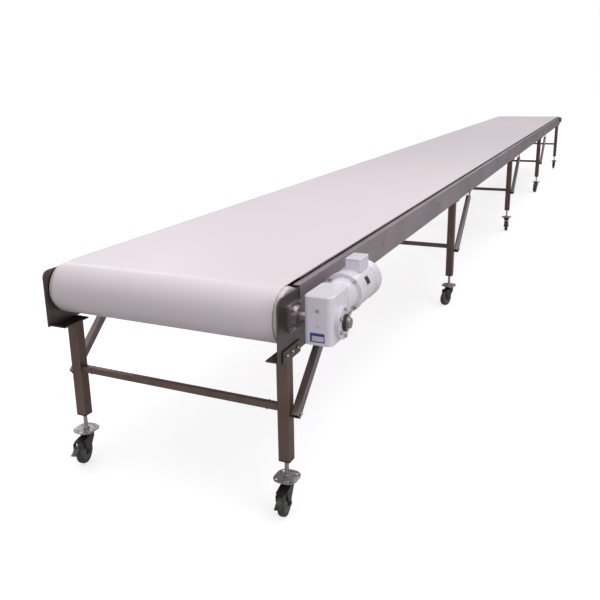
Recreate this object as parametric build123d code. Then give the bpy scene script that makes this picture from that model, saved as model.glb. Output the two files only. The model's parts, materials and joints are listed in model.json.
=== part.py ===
from build123d import *
from math import asin, atan2, cos, degrees, hypot, pi, sin
import os

# Frame of the model while it is built: X along the conveyor from the drive pulley axis,
# Y across it (the gearmotor side is -Y), Z up from the floor. All sizes in millimetres.

# Conveyor as a whole
belt_top = 850
belt_width = 930
bay_length = 2600
bay_count = 4
running_gap = 0.3
bearing_clearance = 0.05

# Belt and pulleys
belt_thickness = 3
drive_pulley_radius = 97
lagging_thickness = 3
drive_shell_wall = 6
drive_shell_end_gap = 10
drive_disc_thickness = 12
drive_hub_radius = 34
drive_shaft_radius = 17.5
drive_shaft_stub = 4
tail_pulley_radius = 50
tail_pulley_overlap = 4
tail_pulley_wall = 5
tail_disc_thickness = 10
tail_shaft_radius = 12.5
tail_shaft_stub = 6
pulley_crown = 1

# Rollers under the belt
snub_roller_radius = 38
snub_gap = 30
snub_lift = 25
return_roller_radius = 20
return_roller_bays = (0.5, 1.8, 3.1)
roller_end_gap = 32
roller_wall = 3
roller_cap_thickness = 12
roller_axle_radius = 6

# Side rails, their sections and splices
belt_side_gap = 5
rail_drop = 10
rail_depth = 120
rail_thickness = 3
rail_flange = 26
rail_drive_start = 58
rail_tail_overhang = 72
rail_joint_x = 2030
splice_length = 300
splice_height = 90
splice_thickness = 4
splice_bolt_radius = 5
web_hole_drop = 52
guide_hole_radius = 5.5
guide_hole_first = 970
guide_hole_spacing = 2276
link_hole_radius = 5.5
link_hole_first = -140
link_hole_spacing = 50
link_hole_rise = 20

# Slider bed and cross members
bed_thickness = 2.5
bed_side_gap = 0.5
bed_end_gap = 20
cross_member_size = 40
cross_member_wall = 2
cross_member_pitch = 650

# Drive end plates, with a lobe that carries the snub roller
end_plate_thickness = 6
end_plate_front = 112
end_plate_back = 235
end_plate_corner = 28
end_plate_top_gap = 4
lobe_radius = 40

# Leg frames
post_size = 45
post_wall = 2.5
post_corner = 4
post_inset = 14.5
post_bottom = 209
plug_flange = 6
plug_depth = 22
crossbar_size = 25
crossbar_wall = 2
crossbar_z = 406
head_thickness = 6
head_length = 135
head_flange = 68
head_height = 45
head_back = 48
head_bolt_x = (-62, -20, 22)
head_bolt_drop = 20
drive_head_drop = 245
tail_head_drop = 141
brace_size = 30
brace_wall = 2
brace_foot_x = 13
brace_foot_z = 388
brace_reach = 384
brace_top_rise = 14
brace_tab_length = 62
brace_tab_thickness = 5
brace_end_margin = 16

# Casters on threaded stems
stem_radius = 8
stem_clearance = 0.1
stem_length = 165
caster_race_height = 21
caster_plate_thickness = 4
caster_plate_length = 96
caster_plate_width = 90
caster_plate_corner = 34
caster_slot_length = 14
caster_slot_width = 9
caster_slot_x = 31
caster_slot_y = 28
kingpin_radius = 9
kingpin_length = 16
caster_trail = 34
wheel_radius = 50
wheel_width = 28
wheel_edge_radius = 7
wheel_hub_radius = 17
wheel_dish_depth = 4
wheel_dish_radius = 33
wheel_axle_radius = 5
fork_thickness = 3
fork_side_gap = 2.5
fork_wheel_gap = 5
fork_crown_thickness = 5
fork_race_bottom_radius = 24
fork_race_top_radius = 33
fork_race_gap = 0.5
fork_axle_boss = 11
pedal_width = 22
pedal_thickness = 4
pedal_pivot_back = 52
pedal_pivot_rise = 44
pedal_reach = 30
pedal_drop = 20
pedal_pin_radius = 3
caster_headings = ((188, 194), (160, 200), (190, 150), (170, 205), (10, 350))

# Bearings
bearing_unit_size = 98
bearing_unit_flange = 12
bearing_boss_radius = 38
bearing_boss_length = 30
bearing_bolt_spacing = 72
bolt_head_height = 6
bolt_head_width = 16

# Take-up at the tail
takeup_travel = 40
takeup_block_length = 64
takeup_block_height = 52
takeup_block_thickness = 24
takeup_guide_height = 8
takeup_frame_back = 72
takeup_lug_thickness = 8
takeup_screw_radius = 6
takeup_screw_end = 104

# Gearmotor on the end of the drive shaft
gearbox_side_gap = 69
gearbox_width = 99
gearbox_front = 75
gearbox_back = 88
gearbox_drop = 63
gearbox_height = 165
gearbox_wall = 8
gearbox_corner = 20
output_boss_radius = 56
output_boss_length = 16
drive_shaft_gear_stub = 21
sleeve_radius = 27
ring_gear_radius = 53
ring_gear_thickness = 9
ring_tooth_height = 4.4
ring_tooth_inner = 36
ring_tooth_count = 36
pinion_tooth_count = 9
pinion_root_radius = 7.5
pinion_tip_radius = 11
pinion_length = 8
pinion_offset = 45
pinion_station = 24
motor_inset = 46
adapter_radius = 58
adapter_flange_radius = 72
adapter_length = 78
adapter_flange_length = 10
motor_radius = 70
motor_length = 165
motor_wall = 5
stator_wall = 14
rotor_radius = 43
rotor_length = 110
motor_shaft_radius = 9
fan_radius = 50
fan_thickness = 14
fan_cover_radius = 72
fan_cover_length = 62
fan_cover_wall = 2
fan_cover_round = 22
terminal_box_length = 90
terminal_box_width = 58
terminal_box_height = 40
terminal_box_wall = 3
terminal_box_shift = 13
terminal_lid_thickness = 7
gland_hole_radius = 10
torque_arm_thickness = 8
torque_arm_reach = 205
torque_arm_height = 34
torque_arm_ring = 44
torque_pin_radius = 10

# Places worked out from the sizes above
run_length = bay_length * bay_count
belt_inner_top = belt_top - belt_thickness
drive_axis_z = belt_inner_top - running_gap - drive_pulley_radius
tail_axis_z = belt_inner_top - running_gap - tail_pulley_radius
return_belt_z = tail_axis_z - tail_pulley_radius - running_gap - belt_thickness
return_axis_z = return_belt_z - running_gap - return_roller_radius
rail_top = belt_top - rail_drop
rail_bottom = rail_top - rail_depth
frame_half_width = belt_width / 2 + belt_side_gap + rail_flange
rail_end = run_length + rail_tail_overhang
web_inner = frame_half_width - rail_thickness
leg_stations = [bay * bay_length for bay in range(bay_count + 1)]
rail_joints = [rail_joint_x + bay * bay_length for bay in range(bay_count - 1)]
drive_shell_radius = drive_pulley_radius - lagging_thickness
drive_shell_length = 2 * (web_inner - drive_shell_end_gap)
tail_pulley_length = belt_width + 2 * tail_pulley_overlap
roller_half_length = web_inner - roller_end_gap
snub_x = drive_pulley_radius + snub_gap + snub_roller_radius
snub_axis_z = drive_axis_z - drive_pulley_radius - snub_roller_radius + snub_lift
return_roller_x = [bays * bay_length for bays in return_roller_bays]
web_hole_z = rail_top - web_hole_drop
guide_hole_x = (guide_hole_first, guide_hole_first + guide_hole_spacing)
link_hole_z = rail_bottom + link_hole_rise
bed_half_width = frame_half_width - rail_flange - bed_side_gap
drive_head_z = belt_top - drive_head_drop
tail_head_z = belt_top - tail_head_drop
end_plate_bottom = drive_head_z + head_thickness
post_centre_y = frame_half_width - post_inset - post_size / 2
brace_top_x = brace_foot_x + brace_reach
brace_top_z = rail_bottom + brace_top_rise
fork_crown_bottom = 2 * wheel_radius + fork_wheel_gap
caster_plate_top = fork_crown_bottom + fork_crown_thickness + caster_race_height + caster_plate_thickness
stem_top = caster_plate_top + stem_length
pedal_pivot_x = -caster_trail - pedal_pivot_back
pedal_pivot_z = wheel_radius + pedal_pivot_rise
drive_shaft_far_end = web_inner + bearing_boss_length + drive_shaft_stub
tail_shaft_half_length = frame_half_width + takeup_block_thickness + tail_shaft_stub
gearbox_inner_y = -frame_half_width - gearbox_side_gap
gearbox_outer_y = gearbox_inner_y - gearbox_width
gearbox_bottom = drive_axis_z - gearbox_drop
motor_axis_y = gearbox_inner_y - motor_inset
motor_axis_z = drive_axis_z + pinion_offset
shaft_gear_end = gearbox_outer_y - output_boss_length - drive_shaft_gear_stub
pieces = {}


def block(x0, x1, y0, y1, z0, z1):
    """Rectangular block between two corners."""
    centre = ((x0 + x1) / 2, (y0 + y1) / 2, (z0 + z1) / 2)
    return Pos(*centre) * Box(abs(x1 - x0), abs(y1 - y0), abs(z1 - z0))


def rod_y(x, z, radius, y0, y1):
    """Round bar across the conveyor, from y0 to y1."""
    return Pos(x, (y0 + y1) / 2, z) * Rot(X=90) * Cylinder(radius, abs(y1 - y0))


def rod_x(y, z, radius, x0, x1):
    """Round bar along the conveyor, from x0 to x1."""
    return Pos((x0 + x1) / 2, y, z) * Rot(Y=90) * Cylinder(radius, abs(x1 - x0))


def rod_z(x, y, radius, z0, z1):
    """Upright round bar from z0 to z1."""
    return Pos(x, y, (z0 + z1) / 2) * Cylinder(radius, abs(z1 - z0))


def square_tube(size, wall, corner, length):
    """Square tube of rounded section, standing on the origin along +Z."""
    outside = RectangleRounded(size, size, corner)
    inside = Rectangle(size - 2 * wall, size - 2 * wall)
    return extrude(outside - inside, length)


def mirrored(shape):
    """The same piece on the other side of the conveyor."""
    return mirror(shape, Plane.XZ)


def pair(shape):
    """A piece and its twin on the other side."""
    return [shape, mirrored(shape)]


def keep(name, shapes):
    """Collect the solids of one node."""
    solids = []
    for shape in shapes if isinstance(shapes, list) else [shapes]:
        solids.extend(shape.solids())
    pieces[name] = solids


# Belt: an endless band, wrapped over both pulleys and over the first return roller and snub roller
def belt_outline(inset):
    """Closed outline of the belt, its outer face moved inwards by inset."""
    over_pulley = running_gap + belt_thickness - inset
    over_roller = running_gap + inset
    turns = (
        (0, drive_axis_z, drive_pulley_radius + over_pulley),
        (run_length, tail_axis_z, tail_pulley_radius + over_pulley),
        (return_roller_x[0], return_axis_z, -return_roller_radius - over_roller),
        (snub_x, snub_axis_z, -snub_roller_radius - over_roller),
    )
    angles = []
    for here, there in zip(turns, turns[1:] + turns[:1]):
        step_x = there[0] - here[0]
        step_z = there[1] - here[1]
        lean = asin((there[2] - here[2]) / hypot(step_x, step_z))
        angles.append(atan2(step_z, step_x) + lean)

    def touch(turn, angle):
        return Vector(turn[0] - turn[2] * sin(angle), 0, turn[1] + turn[2] * cos(angle))

    edges = []
    for index, turn in enumerate(turns):
        angle_in = angles[index - 1]
        angle_out = angles[index]
        swing = (angle_out - angle_in) % (2 * pi)
        if turn[2] > 0:
            swing -= 2 * pi
        start = touch(turn, angle_in)
        middle = touch(turn, angle_in + swing / 2)
        stop = touch(turn, angle_out)
        edges.append(ThreePointArc(start, middle, stop))
        following = turns[(index + 1) % len(turns)]
        edges.append(Line(stop, touch(following, angle_out)))
    return Face(Wire(edges))


band = belt_outline(0) - belt_outline(belt_thickness)
keep("belt", Pos(0, belt_width / 2, 0) * extrude(band, belt_width, dir=(0, -1, 0)))


# Drive pulley: white lagging on a steel shell with two end discs, keyed on its shaft
def hollow_drum(radius, wall, length, disc, bore, axis_x, axis_z):
    """Closed drum: a shell, two end discs and a through bore."""
    half = length / 2
    shell = rod_y(axis_x, axis_z, radius, -half, half)
    room = rod_y(axis_x, axis_z, radius - wall, -half + disc, half - disc)
    return shell - room - rod_y(axis_x, axis_z, bore, -half, half)


drum = hollow_drum(drive_shell_radius, drive_shell_wall, drive_shell_length,
                   drive_disc_thickness, drive_shaft_radius, 0, drive_axis_z)
for side in (-1, 1):
    disc_inner = side * (drive_shell_length / 2 - drive_disc_thickness)
    hub = rod_y(0, drive_axis_z, drive_hub_radius, disc_inner, disc_inner - side * 28)
    drum += hub - rod_y(0, drive_axis_z, drive_shaft_radius, disc_inner, disc_inner - side * 28)
keep("drive_drum", drum)
lagging = rod_y(0, drive_axis_z, drive_pulley_radius, -belt_width / 2, belt_width / 2)
keep("drum_lagging", lagging - rod_y(0, drive_axis_z, drive_shell_radius, -belt_width / 2, belt_width / 2))
keep("drive_shaft", rod_y(0, drive_axis_z, drive_shaft_radius, shaft_gear_end, drive_shaft_far_end))

# Tail pulley: a smaller closed drum, lightly crowned, fixed on a live shaft
tail_half = tail_pulley_length / 2
tail_section = Polyline((0, -tail_half), (tail_pulley_radius - pulley_crown, -tail_half),
                        (tail_pulley_radius, -tail_half / 3), (tail_pulley_radius, tail_half / 3),
                        (tail_pulley_radius - pulley_crown, tail_half), (0, tail_half), close=True)
tail_drum = revolve(make_face(tail_section), Axis.Y)
tail_room = Rot(X=90) * Cylinder(tail_pulley_radius - pulley_crown - tail_pulley_wall,
                                 tail_pulley_length - 2 * tail_disc_thickness)
tail_shaft = Rot(X=90) * Cylinder(tail_shaft_radius, 2 * tail_shaft_half_length)
keep("tail_pulley", Pos(run_length, 0, tail_axis_z) * (tail_drum - tail_room + tail_shaft))


# Snub roller and return rollers: capped tubes that turn on fixed axles
def capped_roller(x, z, radius):
    """Hollow roller between bored end caps."""
    bore = roller_axle_radius + bearing_clearance
    return hollow_drum(radius, roller_wall, 2 * roller_half_length, roller_cap_thickness, bore, x, z)


keep("snub_roller", capped_roller(snub_x, snub_axis_z, snub_roller_radius))
for number, roller_x in enumerate(return_roller_x, start=1):
    keep(f"return_roller_{number}", capped_roller(roller_x, return_axis_z, return_roller_radius))
axles = [rod_y(snub_x, snub_axis_z, roller_axle_radius, -web_inner, web_inner)]
for roller_x in return_roller_x:
    axles.append(rod_y(roller_x, return_axis_z, roller_axle_radius, -web_inner, web_inner))
keep("roller_axles", axles)


# Side rails: folded sheet, a web with an inward top flange, in sections that butt at the joints
def rail_section(x0, x1):
    """One section of the -Y side rail."""
    web = block(x0, x1, -frame_half_width, -web_inner, rail_bottom, rail_top)
    flange = block(x0, x1, -web_inner, rail_flange - frame_half_width, rail_top - rail_thickness, rail_top)
    return web + flange


rail_ends = [rail_drive_start] + rail_joints + [rail_end]
slot_half_height = tail_shaft_radius + 1
takeup_slot = block(run_length - takeup_travel - tail_shaft_radius - 2, run_length + tail_shaft_radius + 2,
                    -frame_half_width - 10, -web_inner + 20,
                    tail_axis_z - slot_half_height, tail_axis_z + slot_half_height)
web_holes = [(joint, web_hole_z, splice_bolt_radius) for joint in rail_joints]
web_holes += [(place, web_hole_z, guide_hole_radius) for place in guide_hole_x]
for place in (link_hole_first, link_hole_first + link_hole_spacing):
    web_holes.append((run_length + place, link_hole_z, link_hole_radius))
rail_solids = []
for x0, x1 in zip(rail_ends, rail_ends[1:]):
    section = rail_section(x0, x1) - takeup_slot
    for place, height, radius in web_holes:
        if x0 <= place <= x1:
            section -= rod_y(place, height, radius, -frame_half_width - 1, -web_inner + 1)
    rail_solids.append(section)
keep("side_rail_right", rail_solids)
keep("side_rail_left", [mirrored(section) for section in rail_solids])

splices = []
for joint in rail_joints:
    plate = block(joint - splice_length / 2, joint + splice_length / 2,
                  -web_inner, splice_thickness - web_inner,
                  web_hole_z - splice_height / 2, web_hole_z + splice_height / 2)
    plate -= rod_y(joint, web_hole_z, splice_bolt_radius, -web_inner - 1, splice_thickness - web_inner + 1)
    splices.extend(pair(plate))
keep("splice_plates", splices)

# Slider bed: one sheet section per bay under the carrying run, on cross members between the rails
bed_start = drive_pulley_radius + bed_end_gap
bed_stop = run_length - tail_pulley_radius - takeup_travel - bed_end_gap
bed_ends = [bed_start] + leg_stations[1:-1] + [bed_stop]
bed_sheets = []
for x0, x1 in zip(bed_ends, bed_ends[1:]):
    bed_sheets.append(block(x0, x1, -bed_half_width, bed_half_width,
                            belt_inner_top - bed_thickness, belt_inner_top))
keep("slider_bed", bed_sheets)

members = []
member_z = belt_inner_top - bed_thickness - cross_member_size / 2
member_stations = []
for index in range(int(run_length / cross_member_pitch)):
    member_stations.append((index + 0.5) * cross_member_pitch)
notch_y = frame_half_width - rail_flange - running_gap
notch_z = rail_top - rail_thickness - running_gap
for place in member_stations:
    tube = Rot(X=90) * square_tube(cross_member_size, cross_member_wall, 3, 2 * web_inner)
    member = Pos(place, web_inner, member_z) * tube
    for side in (-1, 1):
        member -= block(place - cross_member_size, place + cross_member_size,
                        side * notch_y, side * frame_half_width, notch_z, belt_top)
    members.append(member)
keep("cross_members", members)

# Drive end plates: thick plates inside the rails that carry the drive bearings and the snub axle
plate_inner = end_plate_thickness - web_inner
plate_top = rail_top - rail_thickness - end_plate_top_gap
end_plate = block(-end_plate_front, end_plate_back, -web_inner, plate_inner, end_plate_bottom, plate_top)
front_edges = end_plate.edges().filter_by(Axis.Y).group_by(Axis.X)[0]
end_plate = fillet(front_edges.sort_by(Axis.Z)[-1], end_plate_corner)
end_plate += rod_y(snub_x, snub_axis_z, lobe_radius, -web_inner, plate_inner)
lobe_web = block(snub_x - lobe_radius, snub_x + lobe_radius, -web_inner, plate_inner,
                 snub_axis_z, end_plate_bottom + 1)
end_plate += lobe_web
end_plate -= rod_y(0, drive_axis_z, bearing_boss_radius - 6, -web_inner - 1, plate_inner + 1)
end_plate -= rod_y(snub_x, snub_axis_z, roller_axle_radius, -web_inner - 1, plate_inner + 1)
keep("drive_end_plates", pair(end_plate))

# Leg frames: two square posts welded to a crossbar, with a threaded plug in the foot of each post
frames = []
plugs = []
heads = []
for station in leg_stations:
    head_z = tail_head_z if station else drive_head_z
    tube = square_tube(post_size, post_wall, post_corner, head_z - post_bottom)
    post = Pos(station, -post_centre_y, post_bottom) * tube
    bar_half = post_centre_y - post_size / 2 + 0.2
    bar = square_tube(crossbar_size, crossbar_wall, 3, 2 * bar_half)
    frames.append(post + mirrored(post) + Pos(station, bar_half, crossbar_z) * Rot(X=90) * bar)
    plug_room = post_size - 2 * post_wall
    plug = Pos(station, -post_centre_y, post_bottom - plug_flange) * extrude(
        RectangleRounded(post_size, post_size, post_corner), plug_flange)
    plug += block(station - plug_room / 2, station + plug_room / 2,
                  -post_centre_y - plug_room / 2, -post_centre_y + plug_room / 2,
                  post_bottom, post_bottom + plug_depth)
    plug -= rod_z(station, -post_centre_y, stem_radius + stem_clearance,
                  post_bottom - plug_flange - 1, post_bottom + plug_depth + 1)
    plugs.extend(pair(plug))

    # Head bracket: an angle that joins the post to the rail or to the deeper end plate
    outer = web_inner if station else web_inner + head_thickness
    head_x0 = station - head_length / 2 if station else head_back - head_length
    flange = block(head_x0, head_x0 + head_length, -outer, head_flange - outer,
                   head_z, head_z + head_thickness)
    leaf = block(head_x0, head_x0 + head_length, -outer, head_thickness - outer,
                 head_z, head_z + head_height)
    heads.extend(pair(flange + leaf))
keep("leg_frames", frames)
keep("leg_plugs", plugs)
keep("head_brackets", heads)

# Knee braces: square tube from the post's outer side up to the rail, ending in a flat bolted tab
brace_run = brace_top_x - brace_foot_x
brace_rise = brace_top_z - brace_foot_z
brace_length = hypot(brace_run, brace_rise)
brace_angle = degrees(atan2(brace_run, brace_rise))
brace_y = -post_centre_y - post_size / 2 - brace_size / 2
braces = []
for station in leg_stations[:-1]:
    tube_length = brace_length - brace_tab_length + brace_end_margin
    brace = Pos(0, brace_y, -brace_end_margin) * square_tube(brace_size, brace_wall, 3, tube_length)
    tab_start = brace_length - brace_tab_length - 10
    brace += block(-brace_size / 2, brace_size / 2, -frame_half_width - brace_tab_thickness,
                   -frame_half_width, tab_start, brace_length + brace_end_margin)
    brace = Pos(station + brace_foot_x, 0, brace_foot_z) * Rot(Y=brace_angle) * brace
    braces.extend(pair(brace))
keep("knee_braces", braces)


# Fasteners: hexagon heads on the rails, brackets, braces and bearing units
def hex_head_y(x, z, y):
    """Hexagon bolt head standing out from the -Y side face at y."""
    head = extrude(RegularPolygon(bolt_head_width / 2, 6), bolt_head_height)
    return Pos(x, y, z) * Rot(X=90) * head


bolts = []
for joint in rail_joints:
    bolts.extend(pair(hex_head_y(joint, web_hole_z, -frame_half_width)))
tab_outer = -frame_half_width - brace_tab_thickness
for station in leg_stations[:-1]:
    bolts.extend(pair(hex_head_y(station + brace_foot_x, brace_foot_z, brace_y - brace_size / 2)))
    bolts.extend(pair(hex_head_y(station + brace_top_x, brace_top_z, tab_outer)))
head_bolt_z = drive_head_z + head_height - head_bolt_drop
for shift in head_bolt_x:
    bolts.extend(pair(hex_head_y(shift, head_bolt_z, -web_inner - head_thickness)))
keep("frame_bolts", bolts)

# Drive bearings: square flange units bolted on the end plates
bearing_out = -web_inner - bearing_unit_flange
boss_out = -web_inner - bearing_boss_length
unit = block(-bearing_unit_size / 2, bearing_unit_size / 2, bearing_out, -web_inner,
             drive_axis_z - bearing_unit_size / 2, drive_axis_z + bearing_unit_size / 2)
unit = fillet(unit.edges().filter_by(Axis.Y), 14)
unit += rod_y(0, drive_axis_z, bearing_boss_radius, -web_inner, boss_out)
unit -= rod_y(0, drive_axis_z, drive_shaft_radius + bearing_clearance, 1 - web_inner, boss_out - 1)
bolt_reach = bearing_bolt_spacing / 2
for side_x in (-1, 1):
    for side_z in (-1, 1):
        unit += hex_head_y(side_x * bolt_reach, drive_axis_z + side_z * bolt_reach, bearing_out)
keep("drive_bearings", pair(unit))

# Take-up: each tail bearing block slides between two guides, set by a screw through an end lug
block_out = -frame_half_width - takeup_block_thickness
half_block = takeup_block_height / 2
takeup_start = run_length - takeup_travel - takeup_block_length / 2 - 2
guide_stop = run_length + takeup_frame_back - takeup_lug_thickness
frame_solid = block(guide_stop, guide_stop + takeup_lug_thickness, block_out, -frame_half_width,
                    tail_axis_z - half_block - takeup_guide_height,
                    tail_axis_z + half_block + takeup_guide_height)
for side in (-1, 1):
    near_edge = tail_axis_z + side * (half_block + running_gap)
    frame_solid += block(takeup_start, guide_stop, block_out, -frame_half_width,
                         near_edge, near_edge + side * takeup_guide_height)
frame_solid -= rod_x((block_out - frame_half_width) / 2, tail_axis_z, takeup_screw_radius + 1,
                     guide_stop - 1, guide_stop + takeup_lug_thickness + 1)
keep("takeup_frames", pair(frame_solid))
bearing_block = block(run_length - takeup_block_length / 2, run_length + takeup_block_length / 2,
                      block_out, -frame_half_width - running_gap,
                      tail_axis_z - half_block, tail_axis_z + half_block)
bearing_block -= rod_y(run_length, tail_axis_z, tail_shaft_radius + bearing_clearance,
                       -frame_half_width + 1, block_out - 1)
screw_y = (block_out - frame_half_width) / 2
screw = rod_x(screw_y, tail_axis_z, takeup_screw_radius,
              run_length + takeup_block_length / 2, run_length + takeup_screw_end)
keep("takeup_bearings", pair(bearing_block + screw))

# Gearbox: hollow cast case with round bosses at the output shaft and a round neck to the motor
case_top = gearbox_bottom + gearbox_height
case = block(-gearbox_front, gearbox_back, gearbox_inner_y, gearbox_outer_y, gearbox_bottom, case_top)
case = fillet(case.edges().filter_by(Axis.Z), gearbox_corner)
case = chamfer(case.faces().sort_by(Axis.Z)[-1].edges(), 5)
boss_end = gearbox_outer_y - output_boss_length
case += rod_y(0, drive_axis_z, output_boss_radius, gearbox_outer_y, boss_end)
neck_stop = gearbox_back + adapter_length
case += rod_x(motor_axis_y, motor_axis_z, adapter_radius, gearbox_back - gearbox_corner, neck_stop)
flange_start = neck_stop - adapter_flange_length
case += rod_x(motor_axis_y, motor_axis_z, adapter_flange_radius, flange_start, neck_stop)
case -= block(gearbox_wall - gearbox_front, gearbox_back - gearbox_wall,
              gearbox_inner_y - gearbox_wall, gearbox_outer_y + gearbox_wall,
              gearbox_bottom + gearbox_wall, case_top - gearbox_wall)
case -= rod_x(motor_axis_y, motor_axis_z, adapter_radius - gearbox_wall, gearbox_back - gearbox_wall - 1,
              neck_stop + 1)
case -= rod_y(0, drive_axis_z, sleeve_radius + bearing_clearance, gearbox_inner_y + 1, boss_end - 1)
keep("gearbox_housing", case)

# Output sleeve with the ring gear: keyed on the drive shaft, its face teeth a running gap off the pinion
ring_face = motor_axis_y + pinion_tip_radius + running_gap + ring_tooth_height
ring_back = ring_face + ring_gear_thickness
sleeve = rod_y(0, drive_axis_z, sleeve_radius, gearbox_inner_y + 2, boss_end + 2)
sleeve += rod_y(0, drive_axis_z, ring_gear_radius, ring_back, ring_face)
tooth_width = pi * ring_tooth_inner / ring_tooth_count
for index in range(ring_tooth_count):
    tooth = block(ring_tooth_inner, ring_gear_radius - 1, ring_face + 0.5,
                  ring_face - ring_tooth_height, -tooth_width / 2, tooth_width / 2)
    sleeve += Pos(0, 0, drive_axis_z) * Rot(Y=360 * index / ring_tooth_count) * tooth
sleeve -= rod_y(0, drive_axis_z, drive_shaft_radius, gearbox_inner_y + 3, boss_end + 1)
keep("ring_gear_sleeve", sleeve)

# Motor rotor: shaft with the pinion and rotor core, and the cooling fan pressed on its tail
motor_start = neck_stop
motor_stop = motor_start + motor_length
cover_stop = motor_stop + fan_cover_length
shaft_start = ring_gear_radius + 2
rotor = rod_x(motor_axis_y, motor_axis_z, motor_shaft_radius, shaft_start, cover_stop - 20)
rotor += rod_x(motor_axis_y, motor_axis_z, pinion_root_radius,
               pinion_station - pinion_length / 2, shaft_start + 1)
pinion_tooth = pinion_root_radius * pi / pinion_tooth_count
for index in range(pinion_tooth_count):
    tooth = block(pinion_station - pinion_length / 2, pinion_station + pinion_length / 2,
                  -pinion_tooth / 2, pinion_tooth / 2, pinion_root_radius - 1, pinion_tip_radius)
    turn = 360 * (index + 0.5) / pinion_tooth_count
    rotor += Pos(0, motor_axis_y, motor_axis_z) * Rot(X=turn - 90) * tooth
core_start = motor_start + (motor_length - rotor_length) / 2
rotor += rod_x(motor_axis_y, motor_axis_z, rotor_radius, core_start, core_start + rotor_length)
fan_start = motor_stop + 12
fan = rod_x(motor_axis_y, motor_axis_z, fan_radius, fan_start, fan_start + 3)
for index in range(7):
    blade = block(fan_start + 2, fan_start + fan_thickness, -1.5, 1.5,
                  motor_shaft_radius + 1, fan_radius - 2)
    fan += Pos(0, motor_axis_y, motor_axis_z) * Rot(X=360 * index / 7) * blade
fan += rod_x(motor_axis_y, motor_axis_z, motor_shaft_radius + 5, fan_start, fan_start + fan_thickness)
fan -= rod_x(motor_axis_y, motor_axis_z, motor_shaft_radius, fan_start - 1, fan_start + fan_thickness + 1)
keep("motor_rotor", [rotor, fan])

# Motor body, the stator inside it and the fan cover
motor = rod_x(motor_axis_y, motor_axis_z, motor_radius, motor_start, motor_stop)
motor -= rod_x(motor_axis_y, motor_axis_z, motor_radius - motor_wall, motor_start + 10, motor_stop - 10)
motor -= rod_x(motor_axis_y, motor_axis_z, motor_shaft_radius + bearing_clearance,
               motor_start - 1, motor_stop + 1)
keep("motor_frame", motor)
stator_radius = motor_radius - motor_wall
stator = rod_x(motor_axis_y, motor_axis_z, stator_radius, core_start, core_start + rotor_length)
stator -= rod_x(motor_axis_y, motor_axis_z, stator_radius - stator_wall, core_start - 1,
                core_start + rotor_length + 1)
keep("stator", stator)
cover = rod_x(motor_axis_y, motor_axis_z, fan_cover_radius, motor_stop - 12, cover_stop)
cover = fillet(cover.faces().sort_by(Axis.X)[-1].edges(), fan_cover_round)
cover_room = rod_x(motor_axis_y, motor_axis_z, fan_cover_radius - fan_cover_wall, motor_stop,
                   cover_stop - fan_cover_wall)
cover -= fillet(cover_room.faces().sort_by(Axis.X)[-1].edges(), fan_cover_round - fan_cover_wall)
cover -= rod_x(motor_axis_y, motor_axis_z, motor_radius, motor_stop - 13, motor_stop + 1)
keep("fan_cover", cover)

# Terminal box on top of the motor, with a threaded cable entry, and its lid
box_centre_x = motor_start + motor_length * 0.62
box_y = motor_axis_y - terminal_box_shift
box_bottom = motor_axis_z + motor_radius - 8
box_top = box_bottom + terminal_box_height
box_solid = block(box_centre_x - terminal_box_length / 2, box_centre_x + terminal_box_length / 2,
                  box_y - terminal_box_width / 2, box_y + terminal_box_width / 2,
                  box_bottom, box_top)
box_solid = fillet(box_solid.edges().filter_by(Axis.Z), 6)
box_solid -= rod_x(motor_axis_y, motor_axis_z, motor_radius, motor_start, motor_stop + 1)
box_solid -= block(box_centre_x - terminal_box_length / 2 + terminal_box_wall,
                   box_centre_x + terminal_box_length / 2 - terminal_box_wall,
                   box_y - terminal_box_width / 2 + terminal_box_wall,
                   box_y + terminal_box_width / 2 - terminal_box_wall,
                   motor_axis_z + motor_radius + terminal_box_wall, box_top + 1)
gland_z = box_top - terminal_box_height / 2 + 4
box_solid -= rod_x(box_y, gland_z, gland_hole_radius, box_centre_x + terminal_box_length / 2 - 8,
                   box_centre_x + terminal_box_length / 2 + 1)
keep("terminal_box", box_solid)
lid = block(box_centre_x - terminal_box_length / 2, box_centre_x + terminal_box_length / 2,
            box_y - terminal_box_width / 2, box_y + terminal_box_width / 2,
            box_top, box_top + terminal_lid_thickness)
lid = fillet(lid.edges().filter_by(Axis.Z), 6)
lid = fillet(lid.faces().sort_by(Axis.Z)[-1].edges(), 3)
keep("terminal_lid", lid)

# Torque arm: a flat arm from the gearbox's inner face to a stand-off on the rail
arm_outer = gearbox_inner_y
arm_inner = gearbox_inner_y + torque_arm_thickness
arm_z = gearbox_bottom + torque_arm_height / 2 + 2
arm = block(-torque_arm_ring, torque_arm_reach, arm_inner, arm_outer,
            arm_z - torque_arm_height / 2, arm_z + torque_arm_height / 2)
arm += block(-torque_arm_ring, torque_arm_ring, arm_inner, arm_outer, arm_z, drive_axis_z)
arm += rod_y(0, drive_axis_z, torque_arm_ring, arm_inner, arm_outer)
arm -= rod_y(0, drive_axis_z, sleeve_radius + 4, arm_inner + 1, arm_outer - 1)
arm += rod_y(torque_arm_reach - 18, arm_z, torque_pin_radius, -web_inner, arm_inner)
keep("torque_arm", arm)


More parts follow.
